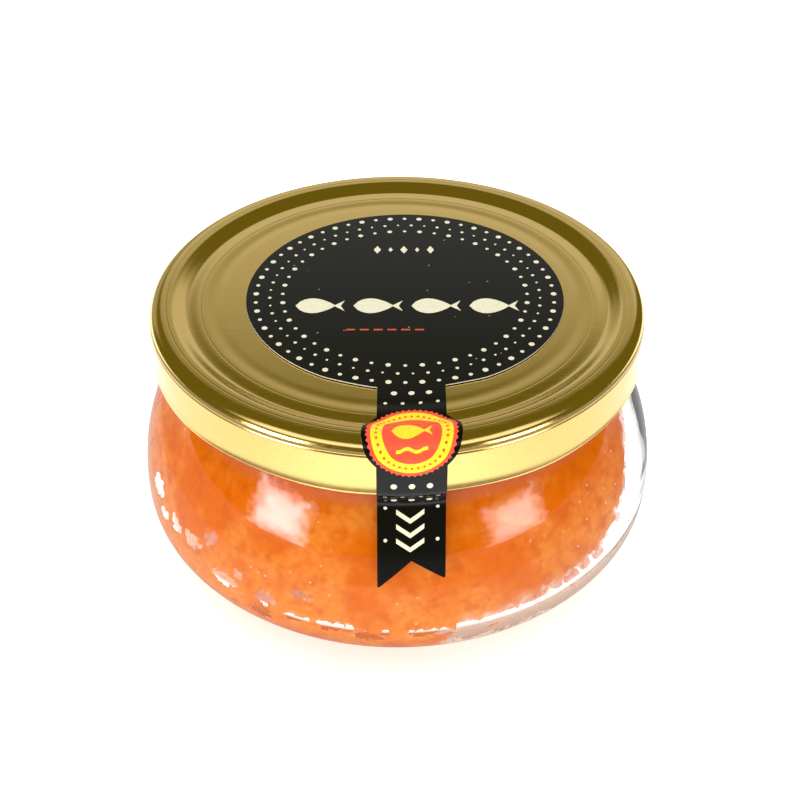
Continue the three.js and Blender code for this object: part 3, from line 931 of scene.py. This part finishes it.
# A generic print in cream: dots in regular rows, a row of plain fish, lozenges above and chevrons below.
printed = {
    "lift": 0.015,
    "thick": 0.03,
    # Rings of dots: (radius, dot radius, count, shift in steps).
    "dotRings": ((25.7, 0.5, 60, 0.0), (23.3, 0.3, 60, 0.5), (21.1, 0.45, 48, 0.0)),
    "stripDots": (0.5, 0.3),
    "stripStep": 2.6,
    "fishCount": 4,
    "fishLength": 8.4,
    "fishHeight": 4.4,
    "fishStep": 9.9,
    "fishAt": (1.7, 3.8),
    "dashAt": (-2.0, 11.0),
    "dash": (1.5, 0.4),
    "dashStep": 2.3,
    "dashCount": 6,
    "lozengeAt": (1.2, -14.5),
    "lozenge": (1.3, 2.6),
    "lozengeStep": 2.4,
    "chevron": (2.2, 1.5, 0.8),
    "chevronsPastCrest": (17.6, 19.9, 22.2),
}


def dotOutline(x, along, radius, sides=12):
    return arcCurve((x, along), (radius, radius), 0, 360 - 360 / sides, sides - 1)


# A plain fish: a spindle that narrows to a forked tail. It swims to the left.
def fishOutline(x, along, length, height, steps=9):
    body = length * 0.8
    top = []
    for i in range(steps + 1):
        t = i / steps
        half = height / 2 * max(math.sin(math.pi * t ** 0.8), 0.0) ** 0.85 + 0.16 * t
        top.append((x - length / 2 + body * t, half))
    tail = [(x + length / 2, height * 0.36), (x + length * 0.42, 0.0), (x + length / 2, -height * 0.36)]
    bottom = [(px, -half) for px, half in reversed(top[1:])]
    return [(px, along + half) for px, half in top + tail + bottom]


def boxOutline(x, along, width, height):
    return [(x - width / 2, along - height / 2), (x + width / 2, along - height / 2),
            (x + width / 2, along + height / 2), (x - width / 2, along + height / 2)]


def chevronOutline(x, along, half, drop, stroke):
    return [(x - half, along - drop / 2), (x, along + drop / 2), (x + half, along - drop / 2),
            (x + half, along - drop / 2 + stroke), (x, along + drop / 2 + stroke),
            (x - half, along - drop / 2 + stroke)]


def creamShapes():
    shapes = []
    x0, y0 = label["discX"], -label["discY"]
    for radius, size, count, shift in printed["dotRings"]:
        for i in range(count):
            angle = math.tau * (i + shift) / count
            shapes.append(dotOutline(x0 + radius * math.sin(angle), y0 + radius * math.cos(angle),
                                     size * (1.0 if i % 2 else 0.7)))
    start = y0 + label["discRadius"] + 1.2
    end = toCrest + label["forkPastCrest"] - label["forkDepth"] - 1.5
    row = 0
    along = start
    while along < end:
        offsets = (-4.1, -1.4, 1.4, 4.1) if row % 2 else (-2.75, 0.0, 2.75)
        for offset in offsets:
            x = label["stripX"] + offset
            free = math.hypot(offset, along - sealAt) > seal["radius"] + 1.3
            clear = all(abs(along - toCrest - place) > 2.2 or abs(offset) > 3.2
                        for place in printed["chevronsPastCrest"])
            if free and clear:
                shapes.append(dotOutline(x, along, printed["stripDots"][row % 2]))
        row += 1
        along += printed["stripStep"]
    x, middle = printed["fishAt"]
    for i in range(printed["fishCount"]):
        across = x + (i - (printed["fishCount"] - 1) / 2) * printed["fishStep"]
        shapes.append(fishOutline(across, middle, printed["fishLength"], printed["fishHeight"]))
    x, middle = printed["lozengeAt"]
    wide, high = printed["lozenge"]
    for i in range(5):
        across = x + (i - 2) * printed["lozengeStep"]
        size = 1.0 if i % 2 == 0 else 0.6
        shapes.append([(across - wide / 2 * size, middle), (across, middle - high / 2 * size),
                       (across + wide / 2 * size, middle), (across, middle + high / 2 * size)])
    for past in printed["chevronsPastCrest"]:
        shapes.append(chevronOutline(label["stripX"] - 0.2, toCrest + past, *printed["chevron"]))
    return shapes


def makeLabelPrint():
    low = label["gap"] + label["paper"] + printed["lift"]
    tip = toCrest + label["forkPastCrest"]
    bm = sheetFrom(creamShapes(), low, printed["thick"], (label["bendFrom"], tip - 0.2), columns=False)
    layOnCarrier(bm)
    finishPiece(bm, "creamPrint", ink["cream"], sharp=50)
    x, middle = printed["dashAt"]
    dashes = [boxOutline(x + (i - (printed["dashCount"] - 1) / 2) * printed["dashStep"], middle,
                         *printed["dash"]) for i in range(printed["dashCount"])]
    bm = sheetFrom(dashes, low, printed["thick"], None)
    layOnCarrier(bm)
    finishPiece(bm, "redPrint", ink["red"], sharp=50)


def sealOutline():
    points = []
    count = seal["teeth"] * 2
    for i in range(count):
        angle = math.tau * i / count
        radius = seal["radius"] + (seal["tooth"] if i % 2 else 0)
        points.append((label["stripX"] + radius * math.sin(angle), sealAt + radius * math.cos(angle)))
    return points


def sealRows():
    reach = seal["radius"] + seal["tooth"]
    return sealAt - reach, sealAt + reach


def makeSeal():
    bm = sheetFrom([sealOutline()], seal["low"], seal["paper"], sealRows())
    layOnCarrier(bm)
    return finishPiece(bm, "seal", ink["sealRed"], ["seal"], sharp=50)


# The seal's print: a yellow ring with small red dots round a red field, and a plain yellow fish in it.
def makeSealPrint():
    low = seal["low"] + seal["paper"]
    x = label["stripX"]
    ringDots = []
    for i in range(seal["dotCount"]):
        angle = math.tau * i / seal["dotCount"]
        ringDots.append(dotOutline(x + seal["dotRing"] * math.sin(angle),
                                   sealAt + seal["dotRing"] * math.cos(angle), seal["dot"], 8))
    wave = [(x + i * 0.6, sealAt + 2.3 + 0.22 * math.sin(i * 1.3)) for i in range(-4, 5)]
    wave += [(px, py + 0.42) for px, py in reversed(wave)]
    layers = (
        ("sealYellow", "sealYellow", [dotOutline(x, sealAt, seal["yellowRadius"], 64)]),
        ("sealField", "sealRed", [dotOutline(x, sealAt, seal["fieldRadius"], 56)] + ringDots),
        ("sealFish", "sealYellow", [fishOutline(x, sealAt - 0.4, 6.2, 2.9), wave]),
    )
    for i, (name, colour, shapes) in enumerate(layers):
        bm = sheetFrom(shapes, low + i * seal["film"], seal["film"], sealRows())
        layOnCarrier(bm)
        finishPiece(bm, name, ink[colour], sharp=50)


# Studio: the white sweep, a softbox at each side in front, and what stands round the jar. The walls are
# patches of the world: degrees from the back to the right, degrees up, how softly they end, and level.
studio = {
    "floorRadius": 0.9,
    "dark": (0.17, 0.155, 0.02, 1.0),
    "fill": 1.32,
    "patches": {
        "backWall": {"side": (-19, 31), "up": (3, 39.5), "ease": (7, 9, 10), "level": 0.64},
        "leftWall": {"side": (-52, -14), "up": (-5, 27), "ease": (8, 5, 6), "level": 0.36},
        "frontRight": {"side": (95, 180), "up": (31, 62), "ease": (15, 5, 8), "level": 1.7},
        "frontLeft": {"side": (-180, -95), "up": (31, 62), "ease": (15, 5, 8), "level": 1.7},
    },
    "softEdge": (0.44, 0.1),
    "softGrain": 0.06,
    "lights": {
        "left": {"place": (-0.36, -0.32, 0.085), "aim": (0, 0, 0.03), "size": (0.3, 0.26), "power": 4.2},
        "right": {"place": (0.35, -0.31, 0.07), "aim": (0, 0, 0.03), "size": (0.3, 0.22), "power": 1.9},
    },
}


# A softbox whose face fades to its edges, a little unevenly.
def shapeLight(data):
    data.use_nodes = True
    tree = data.node_tree
    face = addNode(tree, "ShaderNodeNewGeometry").outputs["Parametric"]
    middle = addNode(tree, "ShaderNodeVectorMath", {0: face, 1: (0.5, 0.5, 0.0)}, operation="SUBTRACT")
    sides = addNode(tree, "ShaderNodeVectorMath", {0: middle.outputs[0]}, operation="ABSOLUTE")
    axes = addNode(tree, "ShaderNodeSeparateXYZ", {"Vector": sides.outputs[0]})
    far = addNode(tree, "ShaderNodeMath", {0: axes.outputs["X"], 1: axes.outputs["Y"]}, operation="MAXIMUM")
    grain = addNode(tree, "ShaderNodeTexNoise", {"Vector": face, "Scale": 9.0, "Detail": 3.0})
    shift = remap(tree, grain.outputs["Fac"], (0.3, 0.7), (-studio["softGrain"], studio["softGrain"]))
    edge = addNode(tree, "ShaderNodeMath", {0: far.outputs[0], 1: shift}, operation="ADD")
    strength = remap(tree, edge.outputs[0], studio["softEdge"], (0.0, 1.0), "SMOOTHSTEP")
    tree.links.new(strength, tree.nodes["Emission"].inputs["Strength"])


def makeStudio():
    bm = bmesh.new()
    bmesh.ops.create_circle(bm, cap_ends=True, segments=96, radius=studio["floorRadius"])
    mesh = bpy.data.meshes.new("sweep")
    bm.to_mesh(mesh)
    bm.free()
    mesh.materials.append(makeFloorMaterial())
    floor = bpy.data.objects.new("sweep", mesh)
    bpy.context.scene.collection.objects.link(floor)
    for name, setting in studio["lights"].items():
        data = bpy.data.lights.new(name, "AREA")
        data.shape = "RECTANGLE"
        data.size, data.size_y = setting["size"]
        data.energy = setting["power"]
        shapeLight(data)
        light = bpy.data.objects.new(name, data)
        light.location = setting["place"]
        aim = Vector(setting["aim"]) - Vector(setting["place"])
        light.rotation_euler = aim.to_track_quat("-Z", "Y").to_euler()
        light.visible_camera = False
        light.visible_transmission = False
        bpy.context.scene.collection.objects.link(light)
    makeWorld()


# The world. Mirror reflections see the dark studio and its walls, the jar's matt surfaces are lit by a
# plain fill, and the camera, also through the glass, sees white.
def makeWorld():
    world = bpy.data.worlds.new("studio")
    world.use_nodes = True
    bpy.context.scene.world = world
    tree = world.node_tree
    shade = tree.nodes["Background"]
    view = addNode(tree, "ShaderNodeTexCoord").outputs["Generated"]
    axes = addNode(tree, "ShaderNodeSeparateXYZ", {"Vector": view})
    side = addNode(tree, "ShaderNodeMath", {0: axes.outputs["X"], 1: axes.outputs["Y"]}, operation="ARCTAN2")
    up = addNode(tree, "ShaderNodeMath", {0: axes.outputs["Z"]}, operation="ARCSINE")
    total = None
    for patch in studio["patches"].values():
        sideEase, lowEase, highEase = (math.radians(ease) for ease in patch["ease"])
        sideFrom, sideTo = (math.radians(angle) for angle in patch["side"])
        upFrom, upTo = (math.radians(angle) for angle in patch["up"])
        ends = ((side, sideFrom, sideEase), (side, sideTo, -sideEase),
                (up, upFrom, lowEase), (up, upTo, -highEase))
        share = patch["level"]
        for value, place, ease in ends:
            seam = abs(abs(place) - math.pi) < 0.01
            if seam:
                continue
            edge = remap(tree, value.outputs[0], (place, place + ease), (0.0, 1.0))
            share = addNode(tree, "ShaderNodeMath", {0: share, 1: edge}, operation="MULTIPLY").outputs[0]
        total = share if total is None else addNode(
            tree, "ShaderNodeMath", {0: total, 1: share}, operation="ADD").outputs[0]
    walls = blendColours(tree, total, studio["dark"], (1.0, 1.0, 1.0, 1.0))
    walls.node.clamp_factor = False
    ray = addNode(tree, "ShaderNodeLightPath")
    matt = remap(tree, ray.outputs["Diffuse Depth"], (0.4, 0.6), (0.0, 1.0))
    lit = blendColours(tree, matt, walls, (studio["fill"],) * 3 + (1.0,))
    through = addNode(tree, "ShaderNodeMath", {0: 1.0, 1: matt}, operation="SUBTRACT")
    clear = addNode(tree, "ShaderNodeMath", {
        0: through.outputs[0], 1: ray.outputs["Is Transmission Ray"]}, operation="MULTIPLY")
    white = addNode(tree, "ShaderNodeMath", {
        0: clear.outputs[0], 1: ray.outputs["Is Camera Ray"]}, operation="MAXIMUM")
    seen = blendColours(tree, white.outputs[0], lit, (1.0, 1.0, 1.0, 1.0))
    tree.links.new(seen, shade.inputs["Color"])
    bpy.context.scene.view_settings.view_transform = "Standard"


makeStudio()
print("studio lit")
makeJar()
makeCap()
makeRoeCore()
makeLooseEggs()
makeLabel()
makeLabelPrint()
makeSeal()
makeSealPrint()
